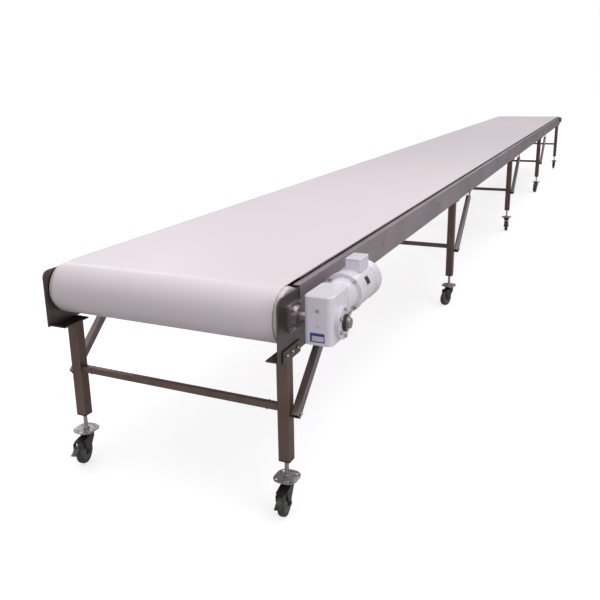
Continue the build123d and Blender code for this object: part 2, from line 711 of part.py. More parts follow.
# Casters: a stem with a top plate, a fork that swivels under it, a wheel, and a brake at the drive end
def caster_stem():
    """Threaded stem, top plate and kingpin, upright on the swivel axis."""
    plate = extrude(RectangleRounded(caster_plate_length, caster_plate_width, caster_plate_corner),
                    caster_plate_thickness)
    for side_x in (-1, 1):
        for side_y in (-1, 1):
            slot = SlotOverall(caster_slot_length, caster_slot_width, rotation=45 * side_x * side_y)
            cutter = extrude(slot, caster_plate_thickness)
            plate -= Pos(side_x * caster_slot_x, side_y * caster_slot_y) * cutter
    stem = Pos(0, 0, caster_plate_top - caster_plate_thickness) * plate
    stem += rod_z(0, 0, stem_radius, caster_plate_top - 1, stem_top)
    stem += rod_z(0, 0, kingpin_radius, caster_plate_top - caster_plate_thickness - kingpin_length,
                  caster_plate_top - 1)
    return stem


def caster_fork(with_brake):
    """Fork that trails towards -X: race, crown, two side plates and the wheel's axle."""
    crown_top = fork_crown_bottom + fork_crown_thickness
    race_top = caster_plate_top - caster_plate_thickness - fork_race_gap
    race = Pos(0, 0, (crown_top + race_top) / 2) * Cone(fork_race_bottom_radius, fork_race_top_radius,
                                                       race_top - crown_top)
    side_inner = wheel_width / 2 + fork_side_gap
    side_outer = side_inner + fork_thickness
    back = pedal_pivot_x + 12 if with_brake else -caster_trail - 16
    fork = race + block(back, 24, -side_outer, side_outer, fork_crown_bottom, crown_top)
    for side in (-1, 1):
        outline = Polyline((24, crown_top), (24, fork_crown_bottom - 12),
                           (10 - caster_trail, wheel_radius - 8), (-caster_trail - 10, wheel_radius - 8),
                           (-caster_trail - 20, fork_crown_bottom - 10),
                           (-caster_trail - 16, crown_top), close=True)
        cheek = extrude(Plane.XZ * make_face(outline), fork_thickness / 2, both=True)
        cheek += rod_y(-caster_trail, wheel_radius, fork_axle_boss, -fork_thickness / 2, fork_thickness / 2)
        fork += Pos(0, side * (side_inner + side_outer) / 2, 0) * cheek
        if with_brake:
            ear = block(pedal_pivot_x - 7, back + 2, -fork_thickness / 2, fork_thickness / 2,
                        pedal_pivot_z - 7, crown_top)
            fork += Pos(0, side * (pedal_width / 2 + running_gap + fork_thickness / 2), 0) * ear
    if with_brake:
        pin_reach = pedal_width / 2 + 4
        fork += rod_y(pedal_pivot_x, pedal_pivot_z, pedal_pin_radius, -pin_reach, pin_reach)
    fork += rod_y(-caster_trail, wheel_radius, wheel_axle_radius, -side_outer - 4, side_outer + 4)
    for side in (-1, 1):
        nut = hex_head_y(-caster_trail, wheel_radius, -side_outer)
        fork += nut if side < 0 else mirrored(nut)
    return fork - rod_z(0, 0, kingpin_radius + bearing_clearance, fork_crown_bottom - 1, caster_plate_top)


def caster_wheel():
    """Rubber-tyred wheel with a dished face and a raised hub, on the fork's axle."""
    half = wheel_width / 2
    wheel = Rot(X=90) * Cylinder(wheel_radius, wheel_width)
    wheel = fillet(wheel.edges(), wheel_edge_radius)
    for side in (-1, 1):
        ring = Cylinder(wheel_dish_radius, wheel_dish_depth) - Cylinder(wheel_hub_radius, wheel_width)
        dish = Rot(X=90) * ring
        wheel -= Pos(0, side * (half - wheel_dish_depth / 2), 0) * dish
    wheel -= Rot(X=90) * Cylinder(wheel_axle_radius + bearing_clearance, wheel_width + 2)
    return Pos(-caster_trail, 0, wheel_radius) * wheel


def brake_pedal():
    """Foot lever on a pin behind the wheel, with a short shoe towards the tread."""
    tip_x = pedal_pivot_x - pedal_reach
    tip_z = pedal_pivot_z - pedal_drop
    outline = Polyline((pedal_pivot_x + 4, pedal_pivot_z + 4), (tip_x, tip_z + pedal_thickness),
                       (tip_x - 8, tip_z + pedal_thickness), (tip_x - 8, tip_z), (tip_x + 4, tip_z),
                       (pedal_pivot_x - 4, pedal_pivot_z - 8), (pedal_pivot_x + 3, pedal_pivot_z - 6),
                       close=True)
    pedal = extrude(Plane.XZ * make_face(outline), pedal_width / 2, both=True)
    pedal += rod_y(pedal_pivot_x, pedal_pivot_z, pedal_pin_radius + 3, -pedal_width / 2, pedal_width / 2)
    return pedal - rod_y(pedal_pivot_x, pedal_pivot_z, pedal_pin_radius + bearing_clearance,
                         -pedal_width, pedal_width)


stem = caster_stem()
wheel = caster_wheel()
plain_fork = caster_fork(False)
brake_fork = caster_fork(True)
pedal = brake_pedal()
for number, station in enumerate(leg_stations, start=1):
    right_foot = Pos(station, -post_centre_y, 0)
    left_foot = Pos(station, post_centre_y, 0)
    keep(f"caster_stems_{number}", [right_foot * stem, left_foot * stem])
    for side, foot, heading in (("right", right_foot, caster_headings[number - 1][0]),
                                ("left", left_foot, caster_headings[number - 1][1])):
        turned = foot * Rot(Z=heading - 180)
        keep(f"fork_{number}_{side}", turned * (brake_fork if number == 1 else plain_fork))
        keep(f"wheel_{number}_{side}", turned * wheel)
        if number == 1:
            keep(f"brake_pedal_{side}", turned * pedal)

# The finished pieces are moved so that the middle of the whole stands over the origin
whole = Compound([solid for solids in pieces.values() for solid in solids]).bounding_box()
to_origin = Pos(-whole.center().X, -whole.center().Y, -whole.min.Z)
os.makedirs("parts", exist_ok=True)
for name, solids in pieces.items():
    moved = [to_origin * solid for solid in solids]
    export_step(moved[0] if len(moved) == 1 else Compound(moved), f"parts/{name}.step")
print(len(pieces), "nodes; shift", to_origin.position, "size", whole.size)
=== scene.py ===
import json
import math

import bmesh
import bpy
from mathutils import Matrix, Vector

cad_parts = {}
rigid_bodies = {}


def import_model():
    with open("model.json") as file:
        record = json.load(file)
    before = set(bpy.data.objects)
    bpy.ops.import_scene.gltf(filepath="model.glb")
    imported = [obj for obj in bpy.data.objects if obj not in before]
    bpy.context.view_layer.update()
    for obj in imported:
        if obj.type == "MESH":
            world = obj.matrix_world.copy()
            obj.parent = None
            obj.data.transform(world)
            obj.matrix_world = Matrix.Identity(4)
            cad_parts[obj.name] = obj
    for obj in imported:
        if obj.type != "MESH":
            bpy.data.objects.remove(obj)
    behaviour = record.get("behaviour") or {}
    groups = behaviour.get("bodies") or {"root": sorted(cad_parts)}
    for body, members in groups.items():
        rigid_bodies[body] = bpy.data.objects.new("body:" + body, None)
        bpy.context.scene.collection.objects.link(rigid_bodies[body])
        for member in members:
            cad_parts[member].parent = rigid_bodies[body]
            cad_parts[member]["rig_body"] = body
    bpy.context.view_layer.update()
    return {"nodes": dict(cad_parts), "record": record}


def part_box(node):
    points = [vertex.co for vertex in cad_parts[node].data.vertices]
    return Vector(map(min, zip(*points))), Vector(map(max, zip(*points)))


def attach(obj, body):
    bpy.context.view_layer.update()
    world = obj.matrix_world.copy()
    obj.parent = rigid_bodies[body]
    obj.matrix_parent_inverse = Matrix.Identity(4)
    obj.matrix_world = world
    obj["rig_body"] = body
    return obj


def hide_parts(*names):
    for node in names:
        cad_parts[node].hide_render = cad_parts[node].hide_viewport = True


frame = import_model()
scene = bpy.context.scene

# Studio: a plain pale floor and an even sky, brighter overhead than at the horizon, with one
# large soft lamp above each end, a long one beyond the belt, and one on the gearmotor side.
floor_mesh = bpy.data.meshes.new("studio_floor")
floor_reach = 45.0
floor_corners = [(-floor_reach, -floor_reach, 0), (floor_reach, -floor_reach, 0),
                 (floor_reach, floor_reach, 0), (-floor_reach, floor_reach, 0)]
floor_mesh.from_pydata(floor_corners, [], [(0, 1, 2, 3)])
floor = bpy.data.objects.new("studio_floor", floor_mesh)
scene.collection.objects.link(floor)

floor_paint = bpy.data.materials.new("studio_floor")
floor_paint.use_nodes = True
floor_nodes = floor_paint.node_tree.nodes
floor_links = floor_paint.node_tree.links
floor_shader = floor_nodes["Principled BSDF"]
floor_shader.inputs["Base Color"].default_value = (0.46, 0.45, 0.46, 1)
floor_shader.inputs["Roughness"].default_value = 0.9
floor_shade = floor_nodes.new("ShaderNodeBsdfDiffuse")
floor_shade.inputs["Color"].default_value = (0.60, 0.60, 0.61, 1)
floor_glow = floor_nodes.new("ShaderNodeEmission")
floor_glow.inputs["Strength"].default_value = 0.66
floor_seen = floor_nodes.new("ShaderNodeAddShader")
floor_links.new(floor_shade.outputs[0], floor_seen.inputs[0])
floor_links.new(floor_glow.outputs[0], floor_seen.inputs[1])
floor_rays = floor_nodes.new("ShaderNodeLightPath")
floor_mix = floor_nodes.new("ShaderNodeMixShader")
floor_links.new(floor_rays.outputs["Is Camera Ray"], floor_mix.inputs[0])
floor_links.new(floor_shader.outputs[0], floor_mix.inputs[1])
floor_links.new(floor_seen.outputs[0], floor_mix.inputs[2])
floor_links.new(floor_mix.outputs[0], floor_nodes["Material Output"].inputs["Surface"])
floor_mesh.materials.append(floor_paint)

sky = bpy.data.worlds.new("studio_sky")
sky.use_nodes = True
scene.world = sky
sky_nodes = sky.node_tree.nodes
sky_links = sky.node_tree.links
sky_light = sky_nodes["Background"]
sky_seen = sky_nodes.new("ShaderNodeBackground")
sky_seen.inputs["Color"].default_value = (1, 1, 1, 1)
sky_place = sky_nodes.new("ShaderNodeTexCoord")
sky_split = sky_nodes.new("ShaderNodeSeparateXYZ")
sky_ramp = sky_nodes.new("ShaderNodeValToRGB")
sky_ramp.color_ramp.elements[0].position = 0.0
sky_ramp.color_ramp.elements[0].color = (0.16, 0.15, 0.155, 1)
sky_ramp.color_ramp.elements[1].position = 0.8
sky_ramp.color_ramp.elements[1].color = (0.78, 0.77, 0.78, 1)
sky_rays = sky_nodes.new("ShaderNodeLightPath")
sky_mix = sky_nodes.new("ShaderNodeMixShader")
sky_links.new(sky_place.outputs["Generated"], sky_split.inputs[0])
sky_links.new(sky_split.outputs["Z"], sky_ramp.inputs[0])
sky_links.new(sky_ramp.outputs[0], sky_light.inputs["Color"])
sky_links.new(sky_rays.outputs["Is Camera Ray"], sky_mix.inputs[0])
sky_links.new(sky_light.outputs[0], sky_mix.inputs[1])
sky_links.new(sky_seen.outputs[0], sky_mix.inputs[2])
sky_links.new(sky_mix.outputs[0], sky_nodes["World Output"].inputs["Surface"])
scene.view_settings.view_transform = "Standard"


def lamp(name, place, aim, width, length, watts):
    """A soft rectangular lamp that points at a place on the conveyor."""
    light = bpy.data.lights.new(name, "AREA")
    light.shape = "RECTANGLE"
    light.size = width
    light.size_y = length
    light.energy = watts
    holder = bpy.data.objects.new(name, light)
    holder.location = place
    holder.rotation_euler = (Vector(aim) - Vector(place)).to_track_quat("-Z", "Y").to_euler()
    scene.collection.objects.link(holder)


belt_low, belt_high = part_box("belt")
drive_end_x = belt_low.x
deck_z = belt_high.z
lamp("overhead_lamp", (drive_end_x + 1.2, -0.6, 4.6), (drive_end_x + 1.2, 0, deck_z), 4.0, 3.0, 60)
lamp("far_lamp", (drive_end_x + 4.6, 5.2, 4.6), (drive_end_x, 0, deck_z), 4.0, 0.5, 45)
lamp("side_lamp", (drive_end_x - 1.0, -4.5, 1.6), (drive_end_x + 0.6, -0.5, 0.5), 3.0, 1.6, 52)
lamp("tail_lamp", (4.0, -1.0, 5.0), (3.0, 0, deck_z), 7.0, 3.0, 75)

# Camera: at eye height off the drive end on the gearmotor side, looking along the conveyor. It
# keeps its distance from the middle of the drive drum, dips a little and is barely rolled.
camera_data = bpy.data.cameras.new("camera")
camera_data.lens = 41.84
camera_data.shift_x = 0.016
camera_data.shift_y = -0.051
camera_data.clip_end = 200
camera = bpy.data.objects.new("camera", camera_data)
camera_heading = 0.4411
camera_dip = 0.2656
camera_roll = -0.0193
forward = Vector((math.cos(camera_dip) * math.cos(camera_heading),
                  math.cos(camera_dip) * math.sin(camera_heading), -math.sin(camera_dip)))
sideways = forward.cross(Vector((0, 0, 1))).normalized()
upward = sideways.cross(forward)
right = math.cos(camera_roll) * sideways + math.sin(camera_roll) * upward
above = math.cos(camera_roll) * upward - math.sin(camera_roll) * sideways
facing = Matrix((right, above, -forward)).transposed().to_4x4()
drive_low, drive_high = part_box("drive_drum")
camera_back = 2.0007
camera_aside = 1.4329
camera_height = 1.5106
stand = Vector(((drive_low.x + drive_high.x) / 2 - camera_back,
                (drive_low.y + drive_high.y) / 2 - camera_aside, camera_height))
camera.matrix_world = Matrix.Translation(stand) @ facing
scene.collection.objects.link(camera)
scene.camera = camera


# Leg frames: square stainless tube, two posts and a crossbar welded together, dull brown-grey, with
# bolted knee braces. Their darkness is partly a painted reflection of dim surroundings. The corners are
# broken, and the metal is satin.
class Shade:
    """One output in a material's node tree, added and multiplied as numbers are in Python."""

    def __init__(self, finish, socket):
        self.finish = finish
        self.socket = socket

    def maths(self, operation, first, second):
        node = self.finish.tree.nodes.new("ShaderNodeMath")
        node.operation = operation
        self.finish.feed(node.inputs[0], first)
        self.finish.feed(node.inputs[1], second)
        return Shade(self.finish, node.outputs[0])

    def __add__(self, other):
        return self.maths("ADD", self, other)

    def __radd__(self, other):
        return self.maths("ADD", other, self)

    def __mul__(self, other):
        return self.maths("MULTIPLY", self, other)

    def __rmul__(self, other):
        return self.maths("MULTIPLY", other, self)


class Finish:
    """A material on a Principled shader, with the nodes that vary it over the surface."""

    def __init__(self, name, color, roughness, metallic=0.0, coat=0.0):
        self.material = bpy.data.materials.new(name)
        self.material.use_nodes = True
        self.tree = self.material.node_tree
        self.shader = self.tree.nodes["Principled BSDF"]
        self.shader.inputs["Base Color"].default_value = (*color, 1)
        self.shader.inputs["Roughness"].default_value = roughness
        self.shader.inputs["Metallic"].default_value = metallic
        self.shader.inputs["Coat Weight"].default_value = coat
        self.place = self.node("TexCoord", output="Object")

    def feed(self, socket, value):
        if isinstance(value, Shade):
            self.tree.links.new(value.socket, socket)
        else:
            socket.default_value = value

    def node(self, kind, sockets=None, output=0):
        made = self.tree.nodes.new("ShaderNode" + kind)
        for name, value in (sockets or {}).items():
            self.feed(made.inputs[name], value)
        return Shade(self, made.outputs[output])

    def noise(self, size, stretch=(1, 1, 1), detail=3.0, shift=(0, 0, 0)):
        """Cloudy values from 0 to 1 with lumps of a size in metres, stretched along an axis."""
        place = self.node("Mapping", {"Vector": self.place, "Location": shift,
                                      "Scale": tuple(1 / (size * s) for s in stretch)})
        return self.node("TexNoise", {"Vector": place, "Scale": 1.0, "Detail": detail,
                                      "Roughness": 0.55})

    def ramp(self, value, low, high):
        """Stretch the band from low to high over 0 to 1."""
        return self.node("MapRange", {0: value, 1: low, 2: high, 3: 0.0, 4: 1.0})

    def mix(self, mask, first, second):
        made = self.tree.nodes.new("ShaderNodeMix")
        made.data_type = "RGBA"
        self.feed(made.inputs[0], mask)
        for slot, value in ((6, first), (7, second)):
            self.feed(made.inputs[slot], value if isinstance(value, Shade) else (*value, 1))
        return Shade(self, made.outputs[2])

    def paint(self, roughness, color=None):
        """Vary the roughness over the surface, and the color too if one is given."""
        if color:
            self.feed(self.shader.inputs["Base Color"], color)
        self.feed(self.shader.inputs["Roughness"], roughness)

    def bump(self, height, depth, strength):
        normal = self.node("Bump", {"Height": height, "Distance": depth, "Strength": strength})
        self.feed(self.shader.inputs["Normal"], normal)


def worn_steel(name, color, roughness, grain, shade=0.25, grain_size=0.0012, metal=1.0):
    """Drawn or rolled stainless: a fine grain along one direction, cloudy tone, faint smears."""
    steel = Finish(name, color, roughness, metallic=metal)
    cloud = steel.noise(0.35, detail=4.0)
    smear = steel.noise(0.06, stretch=(3, 1, 3), detail=5.0, shift=(4, 1, 2))
    lines = steel.noise(grain_size, stretch=grain, detail=2.0)
    dark = tuple(c * (1 - shade) for c in color)
    light = tuple(min(1.0, c * (1 + shade)) for c in color)
    tone = steel.ramp(cloud * 0.6 + smear * 0.4, 0.32, 0.68)
    steel.paint(color=steel.mix(tone, dark, light),
                roughness=roughness - 0.1 + smear * 0.12 + lines * 0.12)
    steel.bump(lines, 0.00006, 0.35)
    return steel.material


def hold(piece, body, slot, *nodes):
    """Hand a finished piece to the frame: its body and the nodes it stands for. The slot is not used."""
    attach(piece, body)
    if nodes:
        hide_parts(*nodes)
    return piece


def finished(name, mesh, finish, sharp=35):
    """An object of a plain mesh, smooth except at its corners."""
    mesh.materials.clear()
    mesh.materials.append(finish)
    mesh.shade_smooth()
    mesh.set_sharp_from_angle(angle=math.radians(sharp))
    piece = bpy.data.objects.new(name, mesh)
    scene.collection.objects.link(piece)
    return piece


def slot_of(node):
    for part in frame["record"]["subparts"]:
        if part["node"] == node:
            return part["material_slot"]


def cylinder_wall(work, profile, origin, axis, steps=32):
    """Add a turned shape to a mesh: a closed profile of (radius, height) pairs round an axis."""
    turn = Vector((0, 0, 1)).rotation_difference(Vector(axis)).to_matrix()
    rings = []
    for step in range(steps):
        angle = 2 * math.pi * step / steps
        ring = []
        for radius, height in profile:
            point = Vector((radius * math.cos(angle), radius * math.sin(angle), height))
            ring.append(work.verts.new(Vector(origin) + turn @ point))
        rings.append(ring)
    for here, there in zip(rings, rings[1:] + rings[:1]):
        for index in range(len(profile)):
            after = (index + 1) % len(profile)
            work.faces.new((here[index], there[index], there[after], here[after]))


def turned(name, profile, origin, axis, finish, body, slot, steps=48, sharp=35):
    """A turned piece of its own, closed at its poles."""
    work = bmesh.new()
    cylinder_wall(work, profile, origin, axis, steps)
    bmesh.ops.remove_doubles(work, verts=work.verts, dist=0.00001)
    bmesh.ops.recalc_face_normals(work, faces=work.faces)
    mesh = bpy.data.meshes.new(name)
    work.to_mesh(mesh)
    work.free()
    return hold(finished(name, mesh, finish, sharp), body, slot)


def thread_profile(radius, start, stop, pitch=0.0025, depth=0.0009):
    """Outline of a screw: crests and roots every pitch, closed on the axis."""
    profile = [(0, start), (radius - depth, start)]
    for index in range(int((stop - start) / pitch)):
        profile.append((radius, start + (index + 0.5) * pitch))
        profile.append((radius - depth, start + (index + 1) * pitch))
    return profile + [(radius - depth, stop - 0.0005), (radius - 2 * depth, stop), (0, stop)]


def dressed(node, finish, edge=0.0008, corner=40, cut=None, screws=()):
    """A CAD piece with its corners broken, in the same place. A cut (axis, level) takes off what
    lies beyond the level, and screws (origin, axis, radius, length) put threads in its stead."""
    mesh = frame["nodes"][node].data.copy()
    work = bmesh.new()
    work.from_mesh(mesh)
    bmesh.ops.remove_doubles(work, verts=work.verts, dist=0.00002)
    if cut:
        direction, level = cut
        bmesh.ops.delete(work, geom=[v for v in work.verts if v.co[direction] > level], context="VERTS")
        bmesh.ops.holes_fill(work, edges=[e for e in work.edges if e.is_boundary])
    bmesh.ops.dissolve_limit(work, angle_limit=math.radians(0.5), verts=work.verts, edges=work.edges)
    work.to_mesh(mesh)
    work.free()
    piece = finished(node + "_piece", mesh, finish, corner)
    bevel = piece.modifiers.new("broken_corner", "BEVEL")
    bevel.width = edge
    bevel.segments = 2
    bevel.limit_method = "ANGLE"
    bevel.angle_limit = math.radians(corner)
    bevel.harden_normals = True
    evaluated = piece.evaluated_get(bpy.context.evaluated_depsgraph_get())
    piece.data = bpy.data.meshes.new_from_object(evaluated)
    piece.modifiers.clear()
    if screws:
        work = bmesh.new()
        for origin, axis, radius, length in screws:
            cylinder_wall(work, thread_profile(radius, 0, length), origin, axis, 20)
        bmesh.ops.remove_doubles(work, verts=work.verts, dist=0.00001)
        bmesh.ops.recalc_face_normals(work, faces=work.faces)
        work.from_mesh(piece.data)
        work.to_mesh(piece.data)
        work.free()
        piece.data.set_sharp_from_angle(angle=math.radians(corner))
    return hold(piece, frame["nodes"][node]["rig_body"], slot_of(node), node)


# The post steel's dark tone is partly a painted reflection of dim surroundings.
post_steel = worn_steel("post_steel", (0.235, 0.168, 0.142), 0.38, (1, 1, 60))
brace_steel = worn_steel("brace_steel", (0.34, 0.29, 0.275), 0.36, (40, 40, 40))
plate_steel = worn_steel("plate_steel", (0.17, 0.15, 0.145), 0.36, (50, 1, 1))
dressed("leg_frames", post_steel, 0.0012)
dressed("knee_braces", brace_steel, 0.0008)
dressed("head_brackets", plate_steel, 0.0008)
plug = Finish("plug_black", (0.035, 0.034, 0.034), 0.5)
plug.paint(roughness=0.42 + plug.noise(0.004) * 0.25)
dressed("leg_plugs", plug.material, 0.0012)

# Weld beads: where each crossbar meets its posts, a row of overlapping lumps runs round the
# square bar. They are laid along the bar's outline and left as welded, a little brown.
class Growth:
    """A Geometry Nodes tree for what repeats, with named inputs for its sizes."""

    def __init__(self, name, **sizes):
        self.tree = bpy.data.node_groups.new(name, "GeometryNodeTree")
        self.tree.interface.new_socket("Geometry", in_out="INPUT", socket_type="NodeSocketGeometry")
        for label in sizes:
            self.tree.interface.new_socket(label, in_out="INPUT", socket_type="NodeSocketFloat")
        self.tree.interface.new_socket("Geometry", in_out="OUTPUT", socket_type="NodeSocketGeometry")
        self.sizes = sizes
        self.given = self.tree.nodes.new("NodeGroupInput").outputs

    def node(self, kind, sockets=None, output=0, **settings):
        made = self.tree.nodes.new(kind)
        for name, value in settings.items():
            setattr(made, name, value)
        for name, value in (sockets or {}).items():
            if isinstance(value, bpy.types.NodeSocket):
                self.tree.links.new(value, made.inputs[name])
            else:
                made.inputs[name].default_value = value
        return made.outputs[output]

    def join(self, *parts):
        made = self.tree.nodes.new("GeometryNodeJoinGeometry")
        for part in parts:
            self.tree.links.new(part, made.inputs[0])
        return made.outputs[0]

    def grow(self, piece, geometry, finish, sharp=35):
        """Realize the tree's result on a piece and turn it into plain mesh."""
        solid = self.node("GeometryNodeRealizeInstances", {"Geometry": geometry})
        solid = self.node("GeometryNodeSetMaterial", {"Geometry": solid, "Material": finish})
        self.tree.links.new(solid, self.tree.nodes.new("NodeGroupOutput").inputs[0])
        modifier = piece.modifiers.new("growth", "NODES")
        modifier.node_group = self.tree
        for item in self.tree.interface.items_tree:
            if item.in_out == "INPUT" and item.name in self.sizes:
                modifier[item.identifier] = self.sizes[item.name]
        evaluated = piece.evaluated_get(bpy.context.evaluated_depsgraph_get())
        piece.data = bpy.data.meshes.new_from_object(evaluated)
        piece.modifiers.clear()
        piece.data.shade_smooth()
        piece.data.set_sharp_from_angle(angle=math.radians(sharp))
        return piece


def seeds(name, spots, edges=(), outward=None):
    """A mesh of bare points, which may carry the direction each one faces."""
    mesh = bpy.data.meshes.new(name)
    mesh.from_pydata([tuple(spot) for spot in spots], edges, [])
    if outward:
        facing_out = mesh.attributes.new("outward", "FLOAT_VECTOR", "POINT")
        for index, direction in enumerate(outward):
            facing_out.data[index].vector = direction
    piece = bpy.data.objects.new(name, mesh)
    scene.collection.objects.link(piece)
    return piece


def mesh_islands(node):
    """Lowest and highest corner of each loose part of a CAD node."""
    work = bmesh.new()
    work.from_mesh(frame["nodes"][node].data)
    bmesh.ops.remove_doubles(work, verts=work.verts, dist=0.00002)
    found = []
    left = set(work.verts)
    while left:
        front = [left.pop()]
        island = list(front)
        while front:
            for edge in front.pop().link_edges:
                for vert in edge.verts:
                    if vert in left:
                        left.discard(vert)
                        front.append(vert)
                        island.append(vert)
        low = Vector(min(v.co[k] for v in island) for k in range(3))
        high = Vector(max(v.co[k] for v in island) for k in range(3))
        found.append((low, high))
    work.free()
    return sorted(found, key=lambda corners: tuple(corners[0]))


bar_half = 0.0125
bar_height = 0.406
post_width = 0.045
bead_gap = 0.0005
bead_spots = []
bead_edges = []
for low, high in mesh_islands("leg_frames"):
    centre_x = (low.x + high.x) / 2
    for y in (low.y + post_width + bead_gap, high.y - post_width - bead_gap):
        first = len(bead_spots)
        for side_x, side_z in ((-1, -1), (1, -1), (1, 1), (-1, 1)):
            bead_spots.append((centre_x + side_x * bar_half, y, bar_height + side_z * bar_half))
        bead_edges += [(first + k, first + (k + 1) % 4) for k in range(4)]
weld = Growth("weld_beads", Lump=0.0021, Step=0.0030)
bead_line = weld.node("GeometryNodeMeshToCurve", {"Mesh": weld.given["Geometry"]})
bead_row = weld.node("GeometryNodeResampleCurve", {"Curve": bead_line, "Length": weld.given["Step"]},
                     mode="LENGTH")
lump = weld.node("GeometryNodeMeshIcoSphere", {"Radius": weld.given["Lump"], "Subdivisions": 2})
lump_size = weld.node("FunctionNodeRandomValue", {2: 0.8, 3: 1.15, "Seed": 4}, output=1, data_type="FLOAT")
lumps = weld.node("GeometryNodeInstanceOnPoints", {"Points": bead_row, "Instance": lump, "Scale": lump_size})
weld_steel = worn_steel("weld_steel", (0.22, 0.17, 0.13), 0.42, (1, 1, 1), grain_size=0.002)
beads = weld.grow(seeds("weld_beads", bead_spots, bead_edges), lumps, weld_steel, 60)
hold(beads, "frame", "stainless")

# Side rails: folded stainless sheet, web and top flange, butted in sections over splice plates.
# The drive end plates are thicker, their darker steel painted shade behind the gearbox, and the tail carries
# the take-up guides.
# The rail steel's dark tone is partly a painted reflection of dim surroundings.
rail_steel = worn_steel("rail_steel", (0.36, 0.305, 0.325), 0.36, (120, 1, 1), metal=0.5)
# The end plates' darker steel is painted shade behind the gearbox.
shaded_end_steel = worn_steel("shaded_end_steel", (0.20, 0.165, 0.165), 0.40, (1, 1, 30))
for node in ("side_rail_right", "side_rail_left"):
    dressed(node, rail_steel, 0.0026)
for node in ("splice_plates", "takeup_frames"):
    dressed(node, rail_steel, 0.0006)
dressed("drive_end_plates", shaded_end_steel, 0.0010)
for node in ("slider_bed", "cross_members"):
    dressed(node, plate_steel, 0.0004)

# Frame bolts: hexagon heads with a chamfered top on plain washers, on the rails, the head
# brackets and both ends of every knee brace.
bolt_steel = worn_steel("bolt_steel", (0.45, 0.43, 0.42), 0.28, (1, 1, 1), grain_size=0.002)


def bolt_heads(name, spots, outward, across, height, body, slot, *nodes):
    """Hexagon heads on washers, one at each spot, facing outwards."""
    heads = Growth(name, Corner=across / math.sqrt(3), Height=height, Washer=across * 0.62,
                   Sheet=height * 0.22)
    rise = heads.node("ShaderNodeMath", {0: heads.given["Height"], 1: 0.41}, operation="MULTIPLY")
    top = heads.node("ShaderNodeMath", {0: heads.given["Height"], 1: 0.82}, operation="MULTIPLY")
    cap = heads.node("ShaderNodeMath", {0: heads.given["Height"], 1: 0.18}, operation="MULTIPLY")
    slim = heads.node("ShaderNodeMath", {0: heads.given["Corner"], 1: 0.86}, operation="MULTIPLY")
    hexagon = heads.node("GeometryNodeMeshCylinder",
                         {"Vertices": 6, "Radius": heads.given["Corner"], "Depth": top})
    lift = heads.node("ShaderNodeCombineXYZ", {"Z": rise})
    hexagon = heads.node("GeometryNodeTransform", {"Geometry": hexagon, "Translation": lift})
    chamfer = heads.node("GeometryNodeMeshCone", {"Vertices": 6, "Radius Top": slim, "Depth": cap,
                                                  "Radius Bottom": heads.given["Corner"]})
    lift_cap = heads.node("ShaderNodeCombineXYZ", {"Z": top})
    chamfer = heads.node("GeometryNodeTransform", {"Geometry": chamfer, "Translation": lift_cap})
    washer = heads.node("GeometryNodeMeshCylinder", {"Vertices": 24, "Radius": heads.given["Washer"],
                                                     "Depth": heads.given["Sheet"]})
    half = heads.node("ShaderNodeMath", {0: heads.given["Sheet"], 1: 0.5}, operation="MULTIPLY")
    washer = heads.node("GeometryNodeTransform", {
        "Geometry": washer, "Translation": heads.node("ShaderNodeCombineXYZ", {"Z": half})})
    direction = heads.node("GeometryNodeInputNamedAttribute", {"Name": "outward"}, data_type="FLOAT_VECTOR")
    turn = heads.node("FunctionNodeAlignRotationToVector", {"Vector": direction}, axis="Z")
    placed = heads.node("GeometryNodeInstanceOnPoints", {
        "Points": heads.given["Geometry"], "Instance": heads.join(hexagon, chamfer, washer),
        "Rotation": turn})
    piece = heads.grow(seeds(name, spots, outward=outward), placed, bolt_steel, 25)
    return hold(piece, body, slot, *nodes)


bolt_spots = []
bolt_ways = []
for low, high in mesh_islands("frame_bolts"):
    way = -1 if low.y < 0 else 1
    seat = high.y if way < 0 else low.y
    bolt_spots.append(((low.x + high.x) / 2, seat, (low.z + high.z) / 2))
    bolt_ways.append((0, way, 0))
frame_bolt_across = 0.0136
frame_bolt_height = 0.006
bolt_heads("frame_bolt_heads", bolt_spots, bolt_ways, frame_bolt_across, frame_bolt_height, "frame",
           "bright_steel", "frame_bolts")

# Pulleys and rollers: the drive drum is lagged and its ends are painted cream; the rollers
# and the tail pulley are bright steel tubes, turned smooth.
cream_light = (0.80, 0.75, 0.71)
cream_stained = (0.70, 0.64, 0.60)
cream = Finish("cream_coat", cream_light, 0.35, coat=0.3)
cream.paint(color=cream.mix(cream.ramp(cream.noise(0.03), 0.4, 0.7), cream_light, cream_stained),
            roughness=0.30 + cream.noise(0.01) * 0.15)
dressed("drive_drum", cream.material, 0.0012)
dressed("drum_lagging", cream.material, 0.0005)
shaft_steel = worn_steel("shaft_steel", (0.42, 0.40, 0.39), 0.28, (1, 60, 1))
cast_steel = worn_steel("cast_steel", (0.40, 0.35, 0.36), 0.34, (1, 1, 1), shade=0.45, grain_size=0.0022)
for node in ("drive_shaft", "ring_gear_sleeve", "motor_rotor", "tail_pulley", "snub_roller",
             "roller_axles", "return_roller_1", "return_roller_2", "return_roller_3", "stator"):
    dressed(node, shaft_steel, 0.0010)
for node in ("torque_arm", "drive_bearings"):
    dressed(node, cast_steel, 0.0018)

